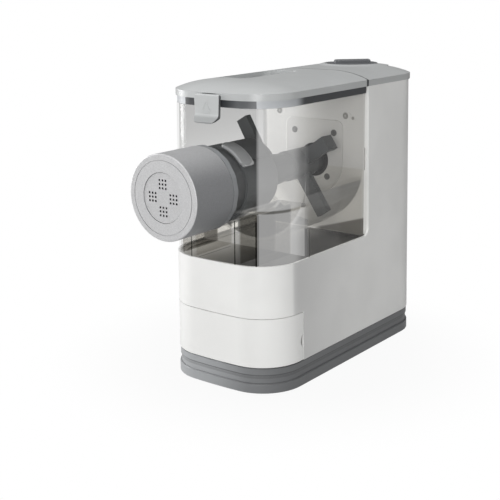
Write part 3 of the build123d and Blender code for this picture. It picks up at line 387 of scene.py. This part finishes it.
def clear_wall(name):
    """Clear moulded bowl with painted light: a painted reflection as a milky veil on the front
    corner, ribs darkened with painted shade, painted dark lines at the rib edges and a painted
    highlight on the rim.
    """
    recipe = Recipe(bpy.data.materials.new(name))
    across, along, rise = (recipe.axis(letter) for letter in "XYZ")
    radius = recipe.distance(0.0, TUBE_AXIS)
    outward = 1.0 - recipe.use("ShaderNodeNewGeometry", out="Backfacing")
    wall = bed_masks(recipe, radius)
    inner = any_of(wall.values())

    # painted shade: the far side wall darkens toward its top
    far_side_shade = (across < -BOWL_SIDE) * recipe.ramp(rise, 0.15, 0.26, 0.2, 1.0)
    # painted shade lines where the rib edges show on the front, and on the right wall beside the
    # cross wall
    lines = any_of(across.near(place, 0.0006) for place in RIB_EDGE_SHADE_LINES)
    lines = lines * (along < -0.0950) * (rise < 0.1640)
    corner_shade_line = (across > BOWL_SIDE) * along.near(-0.0480, 0.0006) * (rise < 0.1500)
    # darker tints: faint grey on the inner walls; on the far side and the ribs, the right rib most,
    # painted shade
    clear = recipe.tinted(0.985, 0.985, 0.982)
    for mask, colour in ((inner, (0.95, 0.945, 0.93)), (far_side_shade, (0.66, 0.66, 0.66)),
                         (wall["right_rib"], (0.66, 0.65, 0.62)),
                         (wall["left_rib"], (0.88, 0.87, 0.85)),
                         (wall["side_ribs"], (0.72, 0.71, 0.69)),
                         ((lines | corner_shade_line) * outward, (0.14, 0.14, 0.13))):
        clear = recipe.over(mask, clear, recipe.tinted(*colour))

    # a bright rim and cradle end; the milky part is a painted glow
    # painted reflection and highlights: a milky veil on the outer skin, a faint sheen on the inner
    # walls,
    outer = (across.size() > BOWL_SIDE) | (along < -0.0495)
    skin = outer * (1.0 - inner) * recipe.ramp(recipe.facing("Z").size(), 0.3, 0.5, 1.0, 0.0)
    rim = wall["trough"] * along.near(-0.0483, 0.0004) * (radius > RIM_RADIUS)
    cradle_end = wall["cradle"] * along.near(-0.0464, 0.0005)
    painted_sheen = (skin * skin_painted_reflection(recipe) + (wall["cross_wall"] | wall["ledge"]) * 0.03
             + wall["cradle"] * 0.05 + wall["trough"] * 0.008 + rim * 0.20 + cradle_end * 0.4
             + recipe.noise(9.0, 3.0, 0.6) * 0.004)
    painted_glow = recipe.over(rim * (rise > 0.1700), recipe.glow(0.85), recipe.glow(0.026))
    body = recipe.over(painted_sheen, clear, painted_glow)

    port = (radius < PORT_RADIUS) * (along < -0.0900)
    edge = recipe.ramp(recipe.use("ShaderNodeFresnel", None, {"IOR": 1.46}),
                       0.05, 1.0, 0.0, 0.8, curve="LINEAR")
    gloss = recipe.use("ShaderNodeBsdfGlossy", None, {"Color": WHITE, "Roughness": 0.08})
    return recipe.finish(recipe.over(edge * outward * (1.0 - port), body, gloss))


# ---------------------------------------------------------------- where a piece's colour changes, mostly as painted shade and painted light

# across, for each painted shadow line that runs from the deck's front to the cross wall
DECK_SHADOW_LINES = (-0.0285, 0.0240, 0.0446)
# across, up, radius and half width of each painted shade ring
PANEL_SHADE_RINGS = ((0.0378, 0.2413, 0.0020, 0.0014), (-0.0430, 0.2418, 0.0020, 0.0014),
               (0.0467, 0.2395, 0.0008, 0.0009))


def off_the_face(recipe):
    """Nothing on what looks to the front or rear, one on the walls between."""
    return 1.0 - recipe.ramp(recipe.facing("Y").size(), 0.3, 0.6)


def away_from_light(recipe):
    """Painted shade on panel and drive cover: bright at the left, darker toward the right."""
    return recipe.ramp(recipe.axis("X"), -0.055, 0.03) * 0.62


def panel_painted_shade(recipe):
    """Panel behind the bowl: painted shade toward the right and low down at the right, with painted
    shade rings round its bosses.
    """
    across, rise = recipe.axis("X"), recipe.axis("Z")
    low = recipe.ramp(rise - across * 0.30, 0.126, 0.120) * recipe.ramp(across, -0.010, 0.010)
    rings = any_of(recipe.distance(x, z).near(radius, width) for x, z, radius, width in PANEL_SHADE_RINGS)
    return away_from_light(recipe) | low | rings * 0.9


def deck_painted_shade(recipe):
    """Deck under the bowl: painted shade along the right, with thin painted shadow lines beside the
    ribs.
    """
    across = recipe.axis("X")
    lines = any_of(across.near(place, 0.0005) for place in DECK_SHADOW_LINES)
    return recipe.ramp(across, -0.050, 0.030) | lines * (recipe.axis("Y") < -0.0480)


def cap_side_painted_shade(recipe):
    """Painted shade on the wall of the cap, more low down and none on its face."""
    return off_the_face(recipe) * recipe.ramp(recipe.axis("Z"), 0.238, 0.205, 0.30, 1.0)


def gasket_painted_highlights(recipe):
    """Seal under the lid: dark along the side, with painted highlights round the front corners."""
    across, along = recipe.axis("X"), recipe.axis("Y")
    right_corner = (across > 0.0450) * recipe.ramp(along, -0.066, -0.050, 1.0, 0.0)
    left_corner = (across < -0.0330) * (along < -0.0900)
    front = recipe.ramp(across, 0.014, 0.030, 0.0, 0.16) * (along < -0.0800)
    return right_corner | left_corner | front


def body_painted_shade(recipe):
    """White body: a painted soft shade on the right wall, strongest behind the front corner."""
    right = recipe.ramp(recipe.facing("X"), 0.975, 0.999)
    return right * recipe.ramp(recipe.axis("Y"), -0.085, 0.030, 1.0, 0.0, curve="LINEAR")


def skirt_painted_shade(recipe):
    """Base ring: painted shade along the right, with painted shade lines in the grooves where its
    steps meet.
    """
    rise = recipe.axis("Z")
    right = recipe.ramp(recipe.axis("X"), -0.03, 0.066)
    lines = any_of((rise.near(0.0183, 0.0008), rise.near(0.0160, 0.0011) * 0.5,
                    rise.near(0.0101, 0.0006) * 0.7))
    return right * 0.68 + lines * (0.5 - right * 0.32)


def seam_colour(recipe):
    """Dark seam between lid and rear cover, wider down the sides."""
    along = recipe.axis("Y")
    side = recipe.axis("X").size() > 0.0630
    return along.near(SEAM, 0.0008) | side * along.near(SEAM - 0.0009, 0.0019)


def latch_painted_shade(recipe):
    """Latch: painted shade on its lower lip and on its right edge."""
    lip = recipe.ramp(recipe.axis("Z"), 0.2590, 0.2555) * 0.45
    return lip | (recipe.facing("X") > 0.6)


def tab_colour(recipe):
    """Lock ring: light on the tab that stands out of it."""
    return recipe.distance(0.0, TUBE_AXIS) > 0.0358


# ---------------------------------------------------------------- finish of each CAD piece

FINISH = {
    "white_plastic": moulded("white_gloss", tone(240, 240, 238), rough=0.3, grain=500.0,
                             grain_depth=0.00002, mottle=0.01),
    "grey_plastic": moulded("base_grey", tone(138, 140, 142), rough=0.45, mottle=0.03),
    "lid_plastic": moulded("lid_grey", tone(188, 190, 190), rough=0.33, mottle=0.02),
    "dark_plastic": moulded("slate_grey", tone(88, 89, 90), rough=0.42),
    "speckled_plastic": speckled("satin_cap", tone(184, 184, 185)),
    "clear_plastic": clear_wall("clear_bowl"),
    "warm_panel": moulded("warm_panel_grey", tone(205, 203, 198), rough=0.5, mottle=0.02),
    "steel": turned_metal("bright_steel", tone(205, 205, 205)),
    "zinc_steel": turned_metal("zinc_steel", tone(170, 172, 175), rough=0.42),
    "black_rubber": soft_rubber("black_rubber", tone(26, 26, 27)),
    "gear_nylon": moulded("nylon", tone(225, 220, 205), rough=0.4, mottle=0.03),
    "bronze": turned_metal("bronze", tone(178, 132, 78), rough=0.45),
    "board_green": printed_board("green_board"),
    "inner_plastic": moulded("inner_grey", tone(186, 185, 181), rough=0.5, mottle=0.03),
}

OWN_FINISH = {
    "base_skirt": two_tone("skirt_grey", skirt_painted_shade, tone(168, 170, 172), tone(60, 61, 62)),
    "bay_frame": two_tone("deck_grey", deck_painted_shade, tone(215, 213, 208), tone(56, 55, 53)),
    # panel: painted shade toward the right, a painted glow on its lit left side
    "bulkhead_panel": two_tone("panel_grey", panel_painted_shade, tone(250, 249, 247),
                               tone(118, 115, 110), glow=0.30),
    "control_knob": moulded("knob_grey", tone(98, 100, 103), rough=0.4, mottle=0.03),
    "drive_coupling": moulded("coupling_slate", tone(54, 55, 56), rough=0.45, mottle=0.03),
    # drive cover: painted shade toward the right, a painted glow on its lit left side
    "drive_cover": two_tone("cover_grey", away_from_light, tone(250, 249, 247),
                            tone(118, 115, 110), glow=0.20),
    "drive_cover_screws": moulded("screw_grey", tone(92, 92, 90), rough=0.4),
    "front_cap": speckled("cap_paint", tone(199, 199, 200), cap_side_painted_shade, tone(136, 137, 139)),
    "housing_shell": two_tone("body_white", body_painted_shade, tone(240, 240, 238),
                              tone(204, 204, 203), rough=0.3, grain=500.0,
                              grain_depth=0.00002),
    "lid": two_tone("lid_top_grey", seam_colour, tone(188, 190, 190), tone(58, 60, 62),
                    rough=0.33),
    "lid_gasket": two_tone("gasket_slate", gasket_painted_highlights, tone(54, 56, 59),
                           tone(190, 193, 196)),
    "lid_latch": two_tone("latch_grey", latch_painted_shade, tone(188, 190, 190), tone(96, 98, 99),
                          rough=0.36),
    "mixing_paddle": moulded("paddle_slate", tone(74, 76, 77), rough=0.5, mottle=0.03),
    "rear_cover": two_tone("cover_top_grey", seam_colour, tone(184, 186, 186),
                           tone(58, 60, 62), rough=0.33),
    "shaft_seal": soft_rubber("seal_black", tone(6, 6, 7)),
    "shaping_disc": speckled("disc_paint", tone(196, 196, 197), off_the_face,
                             tone(26, 26, 27)),
    "tube_lock": two_tone("lock_slate", tab_colour, tone(84, 86, 87), tone(176, 177, 178)),
}


def dress_parts():
    """Gives each CAD piece its own finish, or else its slot's."""
    for subpart in frame["record"]["subparts"]:
        name = subpart["node"]
        material = OWN_FINISH.get(name, FINISH[subpart["material_slot"]])
        for slot in parts[name].material_slots:
            slot.material = material


dress_parts()


# ---------------------------------------------------------------- small pieces

def add_piece(name, mesh, material, body, smooth=True):
    """Puts a mesh in the scene, riding a body of the machine."""
    piece = bpy.data.objects.new(name, mesh)
    scene.collection.objects.link(piece)
    mesh.materials.append(material)
    for face in mesh.polygons:
        face.use_smooth = smooth
    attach(piece, body)


def closed_mesh(name, shape):
    """Turns a closed shape's faces outward and makes it a mesh."""
    bmesh.ops.recalc_face_normals(shape, faces=shape.faces)
    mesh = bpy.data.meshes.new(name)
    shape.to_mesh(mesh)
    shape.free()
    return mesh


def bridge(shape, one, two):
    """Faces between two rings with as many points."""
    for index in range(len(one)):
        after = (index + 1) % len(one)
        shape.faces.new((one[index], one[after], two[after], two[index]))


# sign on the latch

SIGN_LINE = 0.0007
LATCH_FACE = -0.11083
LATCH_MIDDLE = -0.0028


def sign_bead(name, places, closed):
    """Raised rounded line on the latch, through places across and up."""
    curve = bpy.data.curves.new(name, "CURVE")
    curve.dimensions = "3D"
    curve.bevel_depth = SIGN_LINE / 2
    curve.bevel_resolution = 3
    spline = curve.splines.new("POLY")
    spline.points.add(len(places) - 1)
    for point, (across, rise) in zip(spline.points, places):
        point.co = (LATCH_MIDDLE + across, LATCH_FACE, rise, 1.0)
    spline.use_cyclic_u = closed
    holder = bpy.data.objects.new(name + "_line", curve)
    scene.collection.objects.link(holder)
    mesh = bpy.data.meshes.new_from_object(holder)
    bpy.data.objects.remove(holder)
    add_piece(name, mesh, FINISH["lid_plastic"], "latch")


# finger pad on the lock ring

PAD_FRONT, PAD_REAR = -0.1045, -0.0880
PAD_INNER, PAD_OUTER = 0.0361, 0.0388
PAD_START, PAD_STOP = math.radians(32), math.radians(81)
PAD_SHOULDER = 0.0016
PAD_ROUND_END = 0.0045


def pad_section(steps=6):
    """Pad cut along its axis: places along and radii, with two rounded shoulders."""
    shoulders = []
    for step in range(steps + 1):
        turn = math.pi / 2 * step / steps
        from_end = PAD_SHOULDER * (1 - math.sin(turn))
        from_top = PAD_SHOULDER * (1 - math.cos(turn))
        shoulders += [(PAD_FRONT + from_end, PAD_OUTER - from_top),
                      (PAD_REAR - from_top, PAD_OUTER - from_end)]
    return [(PAD_FRONT, PAD_INNER)] + sorted(shoulders) + [(PAD_REAR, PAD_INNER)]


def lock_pad(rows=24):
    """Rounded finger pad over the lock ring's tab."""
    shape = bmesh.new()
    section = pad_section()
    middle = (PAD_FRONT + PAD_REAR) / 2
    rings = []
    for row in range(rows + 1):
        share = row / rows
        angle = PAD_START + (PAD_STOP - PAD_START) * share
        from_end = min(share, 1 - share) * (PAD_STOP - PAD_START) * PAD_OUTER
        into_round = max(0.0, 1 - from_end / PAD_ROUND_END)
        squeeze = math.sqrt(max(0.02, 1 - into_round ** 2))
        rings.append([shape.verts.new((math.cos(angle) * radius,
                                       middle + (along - middle) * squeeze,
                                       TUBE_AXIS + math.sin(angle) * radius))
                      for along, radius in section])
    for one, two in zip(rings, rings[1:]):
        bridge(shape, one, two)
    shape.faces.new(rings[0])
    shape.faces.new(list(reversed(rings[-1])))
    pad_grey = moulded("pad_grey", tone(150, 151, 152), rough=0.4)
    add_piece("lock_pad", closed_mesh("lock_pad", shape), pad_grey, "lock_ring")


# clear bed in the bowl

FRONT_LIMIT = -0.1045
PORT_EDGE = -0.1035
LEDGE_CORNER = -0.070


def front_wall(walls, across, rise):
    """Inner side of the bowl's front wall, or the port's edge where the port is open."""
    place = walls.ray_cast(Vector((across, -0.060, rise)), Vector((0, -1, 0)), 0.060)[0]
    return place.y if place else PORT_EDGE


def side_wall(walls, rise):
    """Inner side of the bowl's side wall."""
    return walls.ray_cast(Vector((0, -0.055, rise)), Vector((1, 0, 0)), 0.070)[0].x


def plate(shape, outline, depth):
    """Flat piece with the outline's shape and the depth's thickness."""
    near = [shape.verts.new(place) for place in outline]
    far = [shape.verts.new(Vector(place) + Vector(depth)) for place in outline]
    shape.faces.new(near)
    shape.faces.new(list(reversed(far)))
    bridge(shape, near, far)


def cradle_arc(radius, steps=40):
    """Arc under the tube's axis, from ledge to ledge, as places across and up."""
    end = math.asin((LEDGE_TOP - TUBE_AXIS) / radius)
    turns = [math.pi - end + (math.pi + 2 * end) * step / steps for step in range(steps + 1)]
    return [(math.cos(turn) * radius, TUBE_AXIS + math.sin(turn) * radius) for turn in turns]


def add_cross_wall(shape, walls):
    """Wall across the bowl, with the cradle's hollow cut out of its top."""
    foot, top = side_wall(walls, BED_FOOT), side_wall(walls, LEDGE_TOP)
    outline = [(-foot, BED_FOOT), (foot, BED_FOOT), (top, LEDGE_TOP),
               *reversed(cradle_arc(CRADLE_INNER)), (-top, LEDGE_TOP)]
    plate(shape, [(x, CROSS_WALL, z) for x, z in outline], (0, BED_WALL, 0))


def add_cradle(shape):
    """Half-round trough that the tube lies in."""
    outline = [*cradle_arc(CRADLE_INNER), *reversed(cradle_arc(CRADLE_OUTER))]
    plate(shape, [(x, CRADLE_FRONT, z) for x, z in outline], (0, CROSS_WALL - CRADLE_FRONT, 0))


def add_ledge(shape, walls, side, steps=16):
    """Ledge from the cradle out to the side wall, along the bowl's rounded front."""
    under = LEDGE_TOP - BED_WALL
    start = math.sqrt(CRADLE_OUTER ** 2 - (LEDGE_TOP - TUBE_AXIS) ** 2)
    reach = side_wall(walls, under)
    outline = []
    for step in range(steps):
        across = side * (start + (reach - start) * step / steps)
        outline.append((across, max(front_wall(walls, across, under), FRONT_LIMIT), under))
    outline += [(side * reach, LEDGE_CORNER, under), (side * reach, CROSS_WALL, under),
                (side * start, CROSS_WALL, under)]
    plate(shape, outline, (0, 0, BED_WALL))


def add_rib(shape, walls, middle, top):
    """Upright rib from the bowl's front wall to the cross wall."""
    left = middle - RIB / 2
    outline = [(left, front_wall(walls, middle, BED_FOOT), BED_FOOT),
               (left, front_wall(walls, middle, top), top),
               (left, CROSS_WALL, top), (left, CROSS_WALL, BED_FOOT)]
    plate(shape, outline, (RIB, 0, 0))


def bowl_bed():
    """Clear bed under the tube: cross wall, cradle, two ledges and four ribs."""
    walls = BVHTree.FromObject(parts["mixing_chamber"], bpy.context.evaluated_depsgraph_get())
    cradle_foot = TUBE_AXIS - math.sqrt(CRADLE_OUTER ** 2 - RIB_UNDER_CRADLE ** 2)
    shape = bmesh.new()
    add_cross_wall(shape, walls)
    add_cradle(shape)
    for side in (-1, 1):
        add_ledge(shape, walls, side)
        add_rib(shape, walls, side * RIB_UNDER_CRADLE, cradle_foot)
        add_rib(shape, walls, side * RIB_AT_SIDE, LEDGE_TOP - BED_WALL)
    add_piece("bowl_bed", closed_mesh("bowl_bed", shape), FINISH["clear_plastic"], "machine",
              smooth=False)


sign_bead("latch_triangle", [(-0.0043, 0.2626), (0.0043, 0.2626), (0.0, 0.2704)], True)
sign_bead("latch_line", [(-0.0046, 0.2604), (0.0046, 0.2604)], False)
lock_pad()
bowl_bed()


# ---------------------------------------------------------------- floor and light

FLOOR_HALF = 6.0
FLOOR_DROP = 0.0002
AMBIENT = 0.20
LAMP_TARGET = (0, 0, 0.15)


def kind_of_ray(recipe, kind):
    """One for rays of that kind."""
    return recipe.use("ShaderNodeLightPath", out=f"Is {kind} Ray")


def make_floor():
    """Floor: white to the camera, a little dulled under the machine, grey to its light."""
    mesh = bpy.data.meshes.new("floor")
    shape = bmesh.new()
    bmesh.ops.create_grid(shape, x_segments=8, y_segments=8, size=FLOOR_HALF)
    shape.to_mesh(mesh)
    shape.free()
    floor = bpy.data.objects.new("floor", mesh)
    floor.location.z = -FLOOR_DROP
    scene.collection.objects.link(floor)
    recipe = Recipe(bpy.data.materials.new("studio_floor"))
    from_middle = recipe.use("ShaderNodeVectorMath", {"operation": "LENGTH"},
                             {0: recipe.place()}, out="Value")
    seen = (kind_of_ray(recipe, "Camera") | kind_of_ray(recipe, "Transmission")
            | kind_of_ray(recipe, "Glossy") * 0.5)
    seen = seen * recipe.ramp(from_middle, 0.10, 0.26, 0.94, 1.0)
    ground = recipe.surface(Base_Color=tone(150, 150, 150), Roughness=0.8)
    mesh.materials.append(recipe.finish(recipe.over(seen, ground, recipe.glow(1.0))))


def make_world():
    """Backdrop: white to the camera and through glass, a low even light to all else."""
    recipe = Recipe(bpy.data.worlds.new("studio"))
    seen = kind_of_ray(recipe, "Camera") | kind_of_ray(recipe, "Transmission")
    level = recipe.ramp(seen, 0.0, 1.0, AMBIENT, 1.0, curve="LINEAR")
    light = recipe.use("ShaderNodeBackground", None, {"Color": WHITE, "Strength": level})
    scene.world = recipe.finish(light, "ShaderNodeOutputWorld")


def studio_lamp(name, azimuth, elevation, distance, size, power):
    """Softbox on a turntable round the machine, aimed at its middle."""
    data = bpy.data.lights.new(name, "AREA")
    data.shape = "RECTANGLE"
    data.size, data.size_y = size
    data.energy = power
    lamp = bpy.data.objects.new(name, data)
    scene.collection.objects.link(lamp)
    away = turntable(azimuth, elevation)
    lamp.location = Vector(LAMP_TARGET) + away * distance
    lamp.rotation_euler = (-away).to_track_quat("-Z", "Y").to_euler()


make_floor()
make_world()
studio_lamp("left", -72, 12, 1.5, (0.7, 0.9), 16.0)
studio_lamp("front", 27, 6, 1.5, (0.6, 0.8), 13.0)
studio_lamp("right", 118, 6, 0.9, (0.3, 0.6), 0.45)
studio_lamp("top", 20, 80, 1.4, (1.0, 1.0), 13.0)
